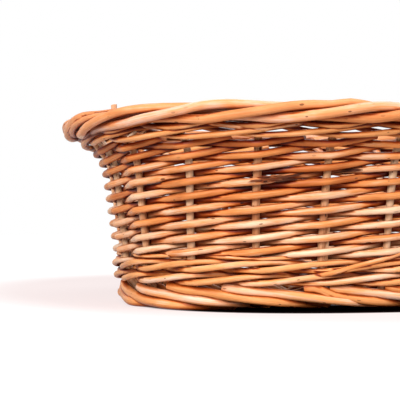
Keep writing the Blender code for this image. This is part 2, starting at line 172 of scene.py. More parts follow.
THIRD_FILLER_DROP, THIRD_FILLER_RADIUS = 3.4 * MM, 2.4 * MM
WALE_FILLER_DROP, WALE_FILLER_RADIUS = 0.6 * MM, 1.9 * MM
BORDER_SQUASH, END_FROM, END_RUN, END_SAG, END_GROWTH = 1.0 * MM, 190 * MM, 60 * MM, 6.5 * MM, 4 * MM
STRAND_BUTT, STRAND_TAPER, STRAND_SWELL, STRAND_WAVES = 1.04, 0.16, 0.05, 9
BORDER_COLOUR_FROM = profile(WALL_TOP)[1] - 4 * MM
BORDER_FILL, BORDER_FILL_RADIUS, BORDER_FILL_PLACES = 5.5 * MM, 2.0 * MM, (-9 * MM, -1 * MM, 7 * MM)
BASE_EDGE, BASE_EDGE_RADIUS = -15.5 * MM, 2.7 * MM
FOOT_RAISE, FOOT_LOW, FOOT_END_LOW = 1.4 * MM, 8.8 * MM, 4.4 * MM
FOOT_TIP, FOOT_FRONT_TIP = 0.9 * FOOT_RADIUS, 1.4 * FOOT_RADIUS


# Willow rods

# Swells along a rod, its knots, how oval it is and where its patterns start
SLOW_SWELL, SLOW_LENGTH = 0.035, 31 * MM
QUICK_SWELL, QUICK_LENGTH = 0.02, 11.3 * MM
FIRST_KNOT, KNOT_PITCH = (0, 90 * MM), (70 * MM, 120 * MM)
KNOT_LENGTH, KNOT_SWELL = 3.5 * MM, 0.06
MOST_OVAL, ANY_PHASE, PATTERN_SHIFT = 0.06, (0, 6.28), (0, 40)

# A course that starts more upright than this, the sharpest bend that is shaded smooth, and the cut ends' UV
STEEP, SEAM_ANGLE = 0.2, math.radians(50)
END_UV = ((-5, 0.1), (-5, 0.2), (-5, 0.3))

# How far apart the rings of a rod's mesh are
FINE, MEDIUM, COARSE = 6 * MM, 7 * MM, 8 * MM
pieces = []


def wobble(size):
    """A seeded random distance, mostly smaller than this size."""
    return float(chance.normal(0, size))


def hold(points, radii, length):
    """The same course with a point this far on either side of each bend, so that it runs straight between."""
    course, thick = [points[0]], [radii[0]]
    for n in range(1, len(points)):
        start, end = np.array(points[n - 1]), np.array(points[n])
        share = min(0.4, length / np.linalg.norm(end - start))
        for t in (share, 1 - share, 1):
            course.append(tuple(start + t * (end - start)))
            thick.append(radii[n - 1] + t * (radii[n] - radii[n - 1]))
    return course, thick


def smooth(points, radii, step):
    """A cubic through the points, with a point about every step, and the radius at each."""
    points, radii = np.array(points), np.array(radii, float)
    before = np.vstack([2 * points[0] - points[1], points[:-1]])
    after = np.vstack([points[1:], 2 * points[-1] - points[-2]])
    length = np.linalg.norm(np.diff(points, axis=0), axis=1)
    gone, left = np.concatenate([[length[0]], length]), np.concatenate([length, [length[-1]]])
    slopes = ((points - before) * (left / gone)[:, None] + (after - points) * (gone / left)[:, None])
    slopes /= (gone + left)[:, None]
    line, thick = [], []
    for n, run in enumerate(length):
        parts = max(1, round(run / step))
        for part in range(parts + (n == len(length) - 1)):
            t = part / parts
            a, b = slopes[n] * run, slopes[n + 1] * run
            line.append((2 * t**3 - 3 * t**2 + 1) * points[n] + (t**3 - 2 * t**2 + t) * a
                        + (3 * t**2 - 2 * t**3) * points[n + 1] + (t**3 - t**2) * b)
            thick.append(radii[n] + t * (radii[n + 1] - radii[n]))
    return np.array(line), np.array(thick)


def uneven(thick, run, phase, knots):
    """The radii with slow and quick swells along the rod and a knot every few centimetres."""
    slow = SLOW_SWELL * np.sin(run / SLOW_LENGTH + phase[0])
    quick = QUICK_SWELL * np.sin(run / QUICK_LENGTH + phase[1])
    thick = thick * (1 + slow + quick)
    first, pitch = chance.uniform(*FIRST_KNOT), chance.uniform(*KNOT_PITCH)
    for knot in np.arange(first, run[-1], pitch):
        thick = thick * (1 + knots * np.exp(-(((run - knot) / KNOT_LENGTH) ** 2)))
    return thick


def crossways(tangents):
    """Two directions across the rod at each of its points, turned no more than its course asks."""
    side = np.cross(tangents[0], (0, 0, 1.0))
    if np.linalg.norm(side) < STEEP:
        side = np.cross(tangents[0], (1.0, 0, 0))
    pairs = []
    for tangent in tangents:
        side = side - tangent * side.dot(tangent)
        side /= np.linalg.norm(side)
        pairs.append((side, np.cross(tangent, side)))
    return pairs


class Rods:
    """Tubes gathered into one mesh, each with its own length and turn as UV and its own tone."""

    def __init__(self):
        self.places, self.faces, self.uvs, self.tones = [], [], [], []

    def add(self, points, radii, step, sides=10, tone=None, cut=(0.0, 0.0), knots=KNOT_SWELL, fade=0.0):
        """Adds a rod. cut is the slant of its two ends, and the last argument how much painted shade darkens
        its tone from butt to tip.
        """
        if isinstance(radii, float):
            radii = [radii] * len(points)
        line, thick = smooth(points, radii, step)
        tangents = np.gradient(line, axis=0)
        tangents /= np.linalg.norm(tangents, axis=1)[:, None]
        run = np.concatenate([[0], np.cumsum(np.linalg.norm(np.diff(line, axis=0), axis=1))])
        phase = chance.uniform(*ANY_PHASE, 3)
        thick = uneven(thick, run, phase, knots)
        oval = chance.uniform(0, MOST_OVAL)
        slants = np.zeros(len(line))
        slants[0], slants[-1] = cut
        around = np.linspace(0, 2 * math.pi, sides, endpoint=False)
        cosine, sine = np.cos(around)[:, None], np.sin(around)[:, None]
        slanting = np.cos(around + phase[2])[:, None]
        rings = []
        for n, (across, up) in enumerate(crossways(tangents)):
            circle = cosine * across * (1 + oval) + sine * up * (1 - oval)
            rings.append(line[n] + thick[n] * circle + slanting * tangents[n] * thick[n] * slants[n])
        tone = chance.uniform(0, 1) if tone is None else tone
        shift = chance.uniform(*PATTERN_SHIFT)
        # The tone darkens from butt to tip by the painted shade asked for
        shaded_tone = tone + fade * (0.5 - run / run[-1])
        self.cover(sum(len(places) for places in self.places), run + shift, sides)
        self.places.append(np.vstack(rings + [[rings[0].mean(0), rings[-1].mean(0)]]))
        self.tones.append(np.concatenate([np.repeat(shaded_tone, sides), shaded_tone[[0, -1]]]))

    def cover(self, first, lengths, sides):
        """The faces between a rod's rings and over its two ends, with their UVs."""
        last = first + (len(lengths) - 1) * sides
        for n in range(len(lengths) - 1):
            low, high = lengths[n], lengths[n + 1]
            for k in range(sides):
                a, b = first + n * sides + k, first + n * sides + (k + 1) % sides
                left, right = k / sides, (k + 1) / sides
                self.faces.append((a, b, b + sides, a + sides))
                self.uvs.append(((low, left), (low, right), (high, right), (high, left)))
        start, end = last + sides, last + sides + 1
        for k in range(sides):
            after = (k + 1) % sides
            self.faces.append((first + after, first + k, start))
            self.faces.append((last + k, last + after, end))
            self.uvs += [END_UV, END_UV]

    def build(self, name, material, nodes):
        mesh = bpy.data.meshes.new(name)
        mesh.from_pydata(np.vstack(self.places).tolist(), [], self.faces)
        layer = mesh.uv_layers.new(name="rod")
        layer.data.foreach_set("uv", np.array([c for face in self.uvs for c in face], np.float32).ravel())
        tone = mesh.attributes.new("tone", "FLOAT", "POINT")
        tone.data.foreach_set("value", np.concatenate(self.tones).astype(np.float32))
        mesh.update()
        piece = bpy.data.objects.new(name, mesh)
        bpy.context.scene.collection.objects.link(piece)
        mesh.shade_smooth()
        mesh.set_sharp_from_angle(angle=SEAM_ANGLE)
        mesh.materials.append(material)
        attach(piece, "root")
        if nodes:
            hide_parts(*nodes)
        pieces.append(piece)
        return piece


def rod(name, material, nodes, slot, points, radii, step, **how):
    """A piece that is one rod."""
    rods = Rods()
    rods.add(points, radii, step, **how)
    return rods.build(name, material, nodes)


# Materials

class Tree:
    """Short ways to add, set and link the nodes of a material or of the world."""

    def __init__(self, owner):
        owner.use_nodes = True
        self.nodes = owner.node_tree.nodes
        self.link = owner.node_tree.links.new

    def feed(self, socket, value):
        """Links another node's output to the socket, or sets a number, place or colour on it."""
        if isinstance(value, bpy.types.NodeSocket):
            self.link(value, socket)
        elif socket.type == "RGBA":
            socket.default_value = (*value, 1)
        else:
            socket.default_value = value

    def add(self, kind, inputs=None, **values):
        """A new node with these settings, and its inputs fed by name or number."""
        node = self.nodes.new("ShaderNode" + kind)
        for key, value in values.items():
            setattr(node, key, value)
        for key, value in (inputs or {}).items():
            self.feed(node.inputs[key], value)
        return node

    def maths(self, operation, *values):
        return self.add("Math", dict(enumerate(values)), operation=operation).outputs[0]

    def mixed(self, factor, a, b):
        return self.add("Mix", {"Factor": factor, "A": a, "B": b}, data_type="RGBA").outputs["Result"]

    def eased(self, value, start, end, to=(0, 1)):
        """Goes smoothly from one number to the other while its input goes from start to end."""
        inputs = {"Value": value, "From Min": start, "From Max": end, "To Min": to[0], "To Max": to[1]}
        return self.add("MapRange", inputs, interpolation_type="SMOOTHSTEP").outputs["Result"]


# Cells of the patterns for each metre along a rod and for one turn round it
WANDER_CELLS, PATCH_CELLS, GRAIN_CELLS, SCAR_CELLS = (9, 1.3), (38, 2.4), (26, 34), (95, 5)
FINE_DETAIL = 3.0

# What moves a rod's colour from dark, at 0.1, to pale, at 0.9
TONE_SHARE, WANDER_BASE, PATCH_SHARE, GRAIN_SHARE = 0.42, -0.23, 0.8, 0.8
STOPS = (0.1, 0.5, 0.9)

SCAR_COLOUR, SCAR_RARITY = (0.13, 0.035, 0.012), 0.68
SCAR_LEAST_SIZE, SCAR_MORE_SIZE = 0.07, 0.16
SCAR_LEAST_DEPTH, SCAR_MORE_DEPTH = 0.3, 0.6

# Painted shade: how closed in a place must be to take it, the gamma of painted light where open and of
# painted shade where closed, and how much it dims
PAINTED_SHADE_RANGE, PAINTED_LIGHT_GAMMA, DEEPEST, PAINTED_SHADE_DIMMING = (0.08, 0.62), 0.95, 2.5, 0.72
SPECULAR, PATCH_GLOSS, PATCH_RELIEF, BUMP_STRENGTH, BUMP_HEIGHT = 0.2, 0.3, 0.8, 0.35, 0.4 * MM


def willow(name, dark, mid, pale, roughness=0.42, painted_shade_share=1.0):
    """Buff willow: colour that wanders along and between rods, fine grain, leaf scars, a satin skin, and
    painted shade where the rods are closed in.
    """
    material = bpy.data.materials.new(name)
    tree = Tree(material)
    maths = tree.maths
    surface = tree.nodes["Principled BSDF"].inputs
    uv = tree.add("UVMap", uv_map="rod").outputs["UV"]
    tone = tree.add("Attribute", attribute_name="tone").outputs["Fac"]
    closed = tree.add("Attribute", attribute_name="crevice_shade").outputs["Fac"]

    def stretched(along, around):
        return tree.add("Mapping", {"Vector": uv, "Scale": (along, around, 1)}).outputs[0]

    def noise(cells, detail):
        inputs = {"Vector": stretched(*cells), "Scale": 1.0, "Detail": detail}
        return tree.add("TexNoise", inputs).outputs["Fac"]

    wander = noise(WANDER_CELLS, 2.0)
    patch = noise(PATCH_CELLS, FINE_DETAIL)
    grain = noise(GRAIN_CELLS, FINE_DETAIL)
    value = maths("MULTIPLY_ADD", tone, TONE_SHARE, maths("ADD", wander, WANDER_BASE))
    value = maths("ADD", value, maths("MULTIPLY_ADD", patch, PATCH_SHARE, -PATCH_SHARE / 2))
    value = maths("ADD", value, maths("MULTIPLY_ADD", grain, GRAIN_SHARE, -GRAIN_SHARE / 2))
    ramp = tree.add("ValToRGB", {"Fac": value})
    ramp.color_ramp.elements.new(0.5)
    for stop, place, colour in zip(ramp.color_ramp.elements, STOPS, (dark, mid, pale)):
        stop.position = place
        stop.color = (*colour, 1)

    # Leaf scars: small dark specks of uneven size and depth, in about one cell in three
    inputs = {"Vector": stretched(*SCAR_CELLS), "Scale": 1, "Randomness": 1}
    cells = tree.add("TexVoronoi", inputs, feature="F1")
    drawn = tree.add("SeparateColor", {"Color": cells.outputs["Color"]}).outputs
    size = maths("MULTIPLY_ADD", drawn["Green"], SCAR_MORE_SIZE, SCAR_LEAST_SIZE)
    near = maths("LESS_THAN", cells.outputs["Distance"], size)
    scar = maths("MULTIPLY", near, maths("GREATER_THAN", drawn["Red"], SCAR_RARITY))
    scar = maths("MULTIPLY", scar, maths("MULTIPLY_ADD", drawn["Blue"], SCAR_MORE_DEPTH, SCAR_LEAST_DEPTH))
    colour = tree.mixed(scar, ramp.outputs["Color"], SCAR_COLOUR)

    # Painted shade: deeper, redder and darker where the rods press together and are closed in, and painted
    # light, a little paler, where they are open
    painted_shade = maths("MULTIPLY", tree.eased(closed, *PAINTED_SHADE_RANGE), painted_shade_share)
    gamma = maths("MULTIPLY_ADD", painted_shade, DEEPEST - PAINTED_LIGHT_GAMMA, PAINTED_LIGHT_GAMMA)
    deep = tree.add("Gamma", {"Color": colour, "Gamma": gamma}).outputs["Color"]
    shade = maths("MULTIPLY_ADD", painted_shade, -PAINTED_SHADE_DIMMING, 1.0)
    colour = tree.add("VectorMath", {0: deep, "Scale": shade}, operation="SCALE").outputs["Vector"]
    tree.feed(surface["Base Color"], colour)

    satin = maths("MULTIPLY_ADD", patch, PATCH_GLOSS, roughness - PATCH_GLOSS / 2)
    tree.feed(surface["Roughness"], satin)
    surface["Specular IOR Level"].default_value = SPECULAR
    height = maths("ADD", grain, maths("MULTIPLY", patch, PATCH_RELIEF))
    bump = tree.add("Bump", {"Strength": BUMP_STRENGTH, "Distance": BUMP_HEIGHT, "Height": height})
    tree.feed(surface["Normal"], bump.outputs["Normal"])
    material.diffuse_color = (*mid, 1)
    return material


# The last number of some materials is the share of painted shade that they take in their crevices
SIDING_WILLOW = willow("siding_willow", (0.48, 0.118, 0.023), (0.78, 0.275, 0.076), (0.92, 0.63, 0.43))
WALE_WILLOW = willow("wale_willow", (0.54, 0.17, 0.04), (0.87, 0.375, 0.132), (0.93, 0.67, 0.51))
STAKE_WILLOW = willow("stake_willow", (0.64, 0.29, 0.14), (0.90, 0.54, 0.32), (0.96, 0.72, 0.52),
                      painted_shade_share=0.3)
BORDER_WILLOW = willow("border_willow", (0.58, 0.18, 0.05), (0.79, 0.305, 0.11), (0.91, 0.585, 0.455),
                       painted_shade_share=0.6)
FOOT_WILLOW = willow("foot_willow", (0.62, 0.215, 0.055), (0.87, 0.36, 0.126), (0.92, 0.62, 0.465),
                     painted_shade_share=0.65)
BARK = willow("torn_bark", (0.025, 0.008, 0.005), (0.075, 0.02, 0.009), (0.26, 0.08, 0.03),
              roughness=0.6, painted_shade_share=0.3)
BASE_WILLOW = willow("base_willow", (0.30, 0.10, 0.03), (0.62, 0.26, 0.09), (0.78, 0.42, 0.20))


# Base

def stick_reach(index):
    """Where a base stick leaves the middle of the base, and which way it points there."""
    half_length = CROSS_STICK_PITCH * (CROSS_STICKS - 1) / 2 + SLATH_MARGIN + LONG_STICK_RADIUS
    half_width = LONG_STICK_PITCH * (LONG_STICKS - 1) / 2 + SLATH_MARGIN
    place, half = (index + CROSS_STICKS // 2) % STAKES, STAKES // 2
    facing = 1 if place < half else -1
    if place % half < CROSS_STICKS:
        across = facing * (place % half - (CROSS_STICKS - 1) / 2)
        return (across * CROSS_STICK_PITCH, -facing * half_width), (0, -facing)
    along = facing * (place % half - CROSS_STICKS - (LONG_STICKS - 1) / 2)
    return (facing * half_length, along * LONG_STICK_PITCH), (facing, 0)


def is_cross(index):
    return (index + CROSS_STICKS // 2) % (STAKES // 2) < CROSS_STICKS


def stick_radius(index):
    return CROSS_STICK_RADIUS if is_cross(index) else LONG_STICK_RADIUS


def beside(index):
    return stick_radius(index) + STAKE_RADIUS + CLEARANCE


def spoke_curve(index, share):
    """(x, y) at a share of the way from there to the stick's end."""
    (x0, y0), (dx, dy) = stick_reach(index)
    x3, y3 = plan(index - beside(index) / SPACING, -STICK_END_SETBACK)
    nx, ny = outline_normal(*plan(index - beside(index) / SPACING, 0))
    third = math.hypot(x3 - x0, y3 - y0) / 3
    rest = 1 - share
    weights = (rest**3, 3 * rest**2 * share, 3 * rest * share**2, share**3)
    x = sum(w * v for w, v in zip(weights, (x0, x0 + third * dx, x3 - third * nx, x3)))
    y = sum(w * v for w, v in zip(weights, (y0, y0 + third * dy, y3 - third * ny, y3)))
    return x, y


SHORTEST_SPOKE = min(math.dist(spoke_curve(i, 0), spoke_curve(i, 1)) for i in range(STAKES))
TAIL_SHARE = 1 - TAIL_LENGTH / SHORTEST_SPOKE
STICK_SHARES = (0, TAIL_SHARE / 2, TAIL_SHARE, 1)


def spoke(index, share, sideways):
    """(x, y) on that curve, drawn as three straight stretches, at a distance to its left."""
    after = next(step for step in range(1, len(STICK_SHARES)) if share <= STICK_SHARES[step])
    low, high = STICK_SHARES[after - 1], STICK_SHARES[after]
    (x0, y0), (x1, y1) = spoke_curve(index, low), spoke_curve(index, high)
    along, length = (share - low) / (high - low), math.dist((x0, y0), (x1, y1))
    tx, ty = (x1 - x0) / length, (y1 - y0) / length
    return x0 + along * (x1 - x0) - sideways * ty, y0 + along * (y1 - y0) + sideways * tx


def base_stick(name, first, last):
    """A stick right across the base. A cross stick is thicker in the middle, where it is split."""
    points = [(*spoke(first, share, 0), BASE_HEIGHT) for share in reversed(STICK_SHARES)]
    points += [(*spoke(last, share, 0), BASE_HEIGHT) for share in STICK_SHARES]
    radii = [stick_radius(first)] * len(points)
    if is_cross(first):
        swell = LONG_STICK_PITCH * (LONG_STICKS - 1) / 2 + LONG_STICK_RADIUS + 2 * CLEARANCE
        middle = len(STICK_SHARES)
        x = points[middle][0]
        # The thin ends run on into the thicker middle, so the course goes back there by twice this overlap
        inner, outer = swell - SPLIT_OVERLAP, swell + SPLIT_OVERLAP
        points[middle:middle] = [(x, y, BASE_HEIGHT) for y in (-inner, -outer, outer, inner)]
        radii[middle:middle] = [CROSS_STICK_RADIUS, SPLIT_RADIUS, SPLIT_RADIUS, CROSS_STICK_RADIUS]
    rod(name + "_willow", BASE_WILLOW, [name], "base_willow", points, radii, COARSE)


def base_weaver(number):
    """One of two rods that chase each other over and under the sticks and the stakes' tails."""
    turn_width = 2 * (WEAVER_RADIUS + CLEARANCE)
    first, last = 2 * WEAVER_RADIUS / SHORTEST_SPOKE, 1 - LAST_RING_SETBACK / SHORTEST_SPOKE
    turns = int((last - first) * SHORTEST_SPOKE / turn_width)
    pitch = (last - first) / turns
    paired = TAIL_SHARE - TAIL_PASS * WEAVER_RADIUS / SHORTEST_SPOKE
    points = []
    for step in range(turns * STAKES // 2 + 1):
        index = (step + number * STAKES // 2) % STAKES
        share = first + 2 * pitch * step / STAKES
        over = 1 if (index + number) % 2 else -1
        width = beside(index) if share > paired else 0
        carrier = max(stick_radius(index), STAKE_RADIUS) if width else stick_radius(index)
        contact = carrier + WEAVER_RADIUS
        here = spoke(index, share, 0)
        near = min(math.dist(here, spoke((index + k) % STAKES, share, 0)) for k in (-1, 1)) - width
        lift = BASE_HEIGHT + over * contact * math.hypot(1, 2 * contact / near)
        points.append((*here, lift))
        if width:
            points.append((*spoke(index, share, width), lift))
    name = f"base_weaver_{number + 1}"
    rod(name + "_willow", BASE_WILLOW, [name], "base_willow", points, WEAVER_RADIUS, MEDIUM, sides=8)


def base_edge(number):
    """One of a twined pair over and under the stakes, just outside the ends of the sticks."""
    points = []
    for place in range(STAKES + 1):
        side = 1 if (place + number) % 2 else -1
        lift = side * (STAKE_RADIUS + BASE_EDGE_RADIUS)
        points.append((*plan(place, BASE_EDGE), BASE_HEIGHT + lift))
        points.append((*plan(place + 0.5, BASE_EDGE + side * BASE_EDGE_RADIUS), BASE_HEIGHT))
    rod(f"base_edge_{number + 1}", BASE_WILLOW, [], "base_willow", points, BASE_EDGE_RADIUS, COARSE, sides=8)


def base():
    half = STAKES // 2
    for number in range(LONG_STICKS):
        right = CROSS_STICKS // 2 + 1 + number
        left = half + CROSS_STICKS // 2 + LONG_STICKS - number
        base_stick(f"base_stick_long_{number + 1}", left, right)
    for number in range(CROSS_STICKS):
        place = number - CROSS_STICKS // 2
        base_stick(f"base_stick_cross_{number + 1}", place % STAKES, (half - place) % STAKES)
    for number in range(2):
        base_weaver(number)
    for number in range(2):
        base_edge(number)


# Wall

# Where a strand stands proud of the border: how far along, by how much, and how soon it sinks again
BUMPS = {-9: [(2.3, 2.0 * MM, 0.6)],
         -5: [(2.15, 3.0 * MM, 0.6)],
         -4: [(2.1, 1.0 * MM, 0.9), (3.0, 3.4 * MM, 0.3)],
         -3: [(2.05, 1.6 * MM, 0.3)],
         3: [(2.1, 2.6 * MM, 0.5)],
         7: [(2.2, 2.2 * MM, 0.6)]}
BUMP_ONSET, USUAL_BUMP_AT, USUAL_BUMP_FALL, USUAL_BUMP = 0.2, 2.3, 0.7, (0, 1.2)

# Every strand swells where it comes out from under the next and is drawn in before that
SCALLOPS = [(1.15, 1.7 * MM, 0.4), (0.35, -1.6 * MM, 0.4)]


def border_point(u, roll, swell=0.0):
    """A point on the border, at a distance round it from the middle of its underside."""
    flat = BORDER_HALF_WIDTH - BORDER_HALF_HEIGHT
    at_end = max(0, (abs(plan(u, BORDER_OFFSET)[0]) - END_FROM) / END_RUN) ** 2
    bend, half = math.pi * BORDER_HALF_HEIGHT, BORDER_HALF_HEIGHT + swell + END_GROWTH * at_end
    if roll < flat:
        out, up = roll, -half
    elif roll < flat + bend:
        angle = (roll - flat) / BORDER_HALF_HEIGHT
        out, up = flat + half * math.sin(angle), -half * math.cos(angle)
    elif roll < 3 * flat + bend:
        out, up = 2 * flat + bend - roll, half
    else:
        angle = (roll - 3 * flat - bend) / BORDER_HALF_HEIGHT
        out, up = -flat - half * math.sin(angle), half * math.cos(angle)
    x, y = plan(u, BORDER_OFFSET + out)
    return x, y, BORDER_HEIGHT + up - END_SAG * at_end


def from_front(index):
    """The same place counted from the front middle, with the left side below zero."""
    return index if index < STAKES / 2 else index - STAKES


def upright(index):
    """A stake's course from under the base weaving to the brim."""
    points = [(*spoke(index, share, beside(index)), BASE_HEIGHT) for share in (TAIL_SHARE, 1)]
    points.append((*plan(index, -FOOT_CLEAR - STAKE_RADIUS), BASE_HEIGHT))
    points.append((*plan(index, -FOOT_CLEAR), BASE_HEIGHT + KINK_LIFT * STAKE_RADIUS))
    low = BOTTOM_WALE_RISE - 2 * WALE_ROW
    points.append(wall(index, low, 0))
    for share in (0.35, 0.7):
        points.append(wall(index + wobble(STAKE_WANDER), low + share * (STRAIGHT_RISE - low), 0))
    for share in (0, 1 / 3, 2 / 3, 1):
        points.append(wall(index, STRAIGHT_RISE + share * BRIM_BEND, 0))
    return points


def stake(index):
    """A stake and the strand of the border that its top becomes, with the border's colour above the brim."""
    name = f"stake_{index + 1:02d}"
    points = upright(index)
    radii = [STAKE_RADIUS * chance.uniform(*STAKE_GROWTH)] * len(points)
    usual = [(USUAL_BUMP_AT, chance.uniform(*USUAL_BUMP) * MM, USUAL_BUMP_FALL)]
    bumps = BUMPS.get(from_front(index), usual) + SCALLOPS
    start = index + drift(WALL_TOP) + BORDER_LEAD
    steps = 4 * BORDER_SPACINGS
    for step in range(steps + 1):
        share, gone = step / steps, step / 4
        swell = -BORDER_SQUASH
        for at, lift, fall in bumps:
            swell += lift * math.exp(-(((gone - at) / (BUMP_ONSET if gone < at else fall)) ** 2))
        swell += wobble(STRAND_WANDER)
        points.append(border_point(start + gone, BORDER_START + BORDER_SHIFT * gone, swell))
        wave = STRAND_SWELL * math.sin(STRAND_WAVES * share + index)
        radii.append(BORDER_RADIUS * (STRAND_BUTT - STRAND_TAPER * share + wave))
    piece = rod(name + "_willow", STAKE_WILLOW, [name], "stake_willow", points, radii, MEDIUM,
                sides=12, cut=(0, 0.8))
    piece.data.materials.append(BORDER_WILLOW)
    for face in piece.data.polygons:
        if face.center.z > BORDER_COLOUR_FROM:
            face.material_index = 1


def siding_rise(row):
    """The rows lie a little lower than in the CAD, most at the top, where they are packed tightest."""
    low, high = SIDING_SETTLE
    return FIRST_SIDING_RISE + row * SIDING_PITCH - low - (high - low) * row / SIDING_ROWS


def siding_rod(index):
    """A rod in front of one stake and behind the next, which climbs a row with each of them."""
    name = f"siding_rod_{index + 1:02d}"
    points, radii = [], []
    for row in range(SIDING_ROWS):
        side = 1 if row % 2 else -1
        radius = SIDING_BUTT + (SIDING_TIP - SIDING_BUTT) * row / SIDING_ROWS
        out = reach(index + row, SIDING_RADIUS, SPACING / 2, side)
        out += side * SIDING_EASE * (radius - SIDING_RADIUS)
        points.append(wall(index + row, siding_rise(row) + wobble(SIDING_WANDER), out))
        radii.append(radius)
    points[0] = tuple(p + SIDING_END * (p - q) for p, q in zip(points[0], points[1]))
    last_rise = siding_rise(SIDING_ROWS - 0.5)
    points.append(between(index + SIDING_ROWS - 1, LAST_SIDING_SHARE, last_rise, LAST_SIDING_OUT))
    radii.append(SIDING_TIP)
    points, radii = hold(points, radii, BEND_LENGTH)
    # Painted shade: the rod darkens towards its tip, where it lies under the border at the top of the wall
    rod(name + "_willow", SIDING_WILLOW, [name], "siding_willow", points, radii, FINE,
        cut=(0.5, 0.7), fade=SIDING_TOP_SHADE)


# A wale rod's side and row at each stake of its stroke and half-way to the next; no row, no point
WALE_STATES = {(0, 0): (-1, 0), (0, 0.5): (0, -1),
               (1, 0): (1, -1), (1, 0.5): (1, None),
               (2, 0): (1, 1), (2, 0.5): (0, 1)}


def wale(name, rise, rounds, lift, spread, tones):
    """Three rods, each in front of two stakes and behind the third."""
    start, last = STAKES // 2, rounds * (STAKES - 1)
    for number in range(3):
        points = []
        end = number + 3 * ((last - number) // 3)
        for place in range(number, end + 1):
            state = (place - number) % 3
            for ahead in (0, 0.5):
                turned, within = divmod(place + ahead, STAKES)
                climb = max(0, 1 - (STAKES - within) / WALE_CLIMB) if rounds > 1 else 0
                level = rise + WALE_STEP * (turned + climb)
                side, height = WALE_STATES[state, ahead]
                if height is None or (ahead and place == end):
                    continue
                out = reach(start + place, WALE_RADIUS, SPACING / 2, side) if side else 0
                level += height * WALE_ROW * spread + lift + wobble(WALE_WANDER)
                points.append(between(start + place, ahead, level, out))
        radii = list(WALE_BUTT + (WALE_TIP - WALE_BUTT) * np.linspace(0, 1, len(points)))
        tone = chance.uniform(*tones)
        node = f"{name}_{number + 1}"
        rod(node + "_willow", WALE_WILLOW, [node], "wale_willow", points, radii, MEDIUM, sides=8, tone=tone)


def brim_filler(number):
    """One of a pair of thin rods twined round the stakes' tops, close under the border."""
    points = []
    for place in range(STAKES + 1):
        side = 1 if (place + number) % 2 else -1
        out = side * (STAKE_RADIUS + FILLER_RADIUS)
        points.append(wall(place, FILLER_RISE + wobble(FILLER_WANDER), out))
        points.append(between(place, 0.5, FILLER_RISE + side * FILLER_RADIUS, 0))
    rod(f"brim_filler_{number + 1}", WALE_WILLOW, [], "wale_willow", points, FILLER_RADIUS, COARSE,
        sides=8, cut=(0.6, 0.6))


def thin_rod(name, rise, radius, every):
    """A thin rod once round the wall, in front of one stake in so many and behind the others."""
    points = []
    for place in range(STAKES + 1):
        out = (1 if place % every == 2 % every else -1) * (STAKE_RADIUS + radius)
        points.append(wall(place, rise + wobble(THIN_WANDER), out))
    rod(name, WALE_WILLOW, [], "wale_willow", points, radius, COARSE, sides=8, cut=(0.6, 0.6))


# Where the foot rods start and how many spacings of each are seen, as in the photo
FOOT_COURSES = {-7: (0.4, 2.2), -6: (0.4, 2.4), -5: (0.66, 1.7), -4: (0.56, 1.85),
                -3: (0.54, 1.96), -2: (0.79, 1.15), -1: (0.17, 1.9), 0: (0.03, 2.0)}
USUAL_FOOT_START, USUAL_FOOT_RUN = (0.28, 0.5), 1.95

# How far down a rod has come at each share of its run: evenly, at the left end, and the one with an elbow
FALL_SHARES = (0, 0.12, 0.38, 0.68, 1)
EVEN_FALL = (-0.03, 0.12, 0.38, 0.68, 1)
FOOT_FALLS = {-7: (0, 0.12, 0.5, 0.85, 1),
              -6: (0, 0.12, 0.55, 0.85, 1),
              -5: (0.2, 0.3, 0.52, 0.76, 1),
              -2: (-0.03, -0.06, 0.55, 0.82, 1)}
FOOT_TAPER = (0.97, 0.99, 0.99, 0.98, 0.96, 0.92, 0.88, 0.86)

# How far beyond its run a rod goes on, and how many radii it is set back under the basket there
FOOT_TUCK = ((0.3, 2), (0.6, 5), (0.85, 5))


def foot_rod(index):
    """A thick rod that slants down the foot, with its butt in view and its end set back under the basket."""
    face = -FOOT_RADIUS
    place = from_front(index)
    tip = FOOT_FRONT_TIP if -6 < place < 1 else FOOT_TIP
    usual = (chance.uniform(*USUAL_FOOT_START), USUAL_FOOT_RUN)
    ahead, run = FOOT_COURSES.get(place, usual)
    start, top = index + ahead, FOOT_TOP + FOOT_RAISE
    low = FOOT_END_LOW if place in (-7, -6) else FOOT_LOW
    points = []
    for share, fallen in zip(FALL_SHARES, FOOT_FALLS.get(place, EVEN_FALL)):
        height = top + (low - top) * fallen + wobble(FOOT_WANDER)
        out = face if share else face - 0.5 * FOOT_RADIUS
        points.append((*plan(start + run * share, out), height))
    for (beyond, back), height in zip(FOOT_TUCK, (0.5 * (low + tip), tip, tip)):
        points.append((*plan(start + run + beyond, face - back * FOOT_RADIUS), height))
    radii = [FOOT_RADIUS * factor for factor in FOOT_TAPER]
    rod(f"foot_rod_{index + 1:02d}_willow", FOOT_WILLOW, ["foot_border"], "foot_willow", points, radii,
        FINE, sides=12, cut=(0.15, 0.9), knots=0.07)


# Small things seen in the photo

# Strands at the border's ends: where they start, how far they are seen, and how deep they lie
END_STRANDS, END_STRAND_RUN = (-8.5, -7.5, -6.5, 1.5, 2.5, 3.5), np.arange(0.5, 3.6, 0.25)
END_STRAND_RADIUS, END_STRAND_SINK, END_STRAND_ARCH = 3.3 * MM, 2.2 * MM, 0.625 * MM

# Bye-stakes: place, lowest and highest rise, radius and distance outward
BYE_STAKES = ((-0.93, 24 * MM, 66 * MM, 1.9 * MM, 0.8 * MM),
              (-5.62, 16 * MM, 150 * MM, 2.9 * MM, -0.4 * MM),
              (-6.3, 16 * MM, 150 * MM, 2.4 * MM, -0.4 * MM),
              (4.7, 16 * MM, 150 * MM, 2.4 * MM, -0.4 * MM))

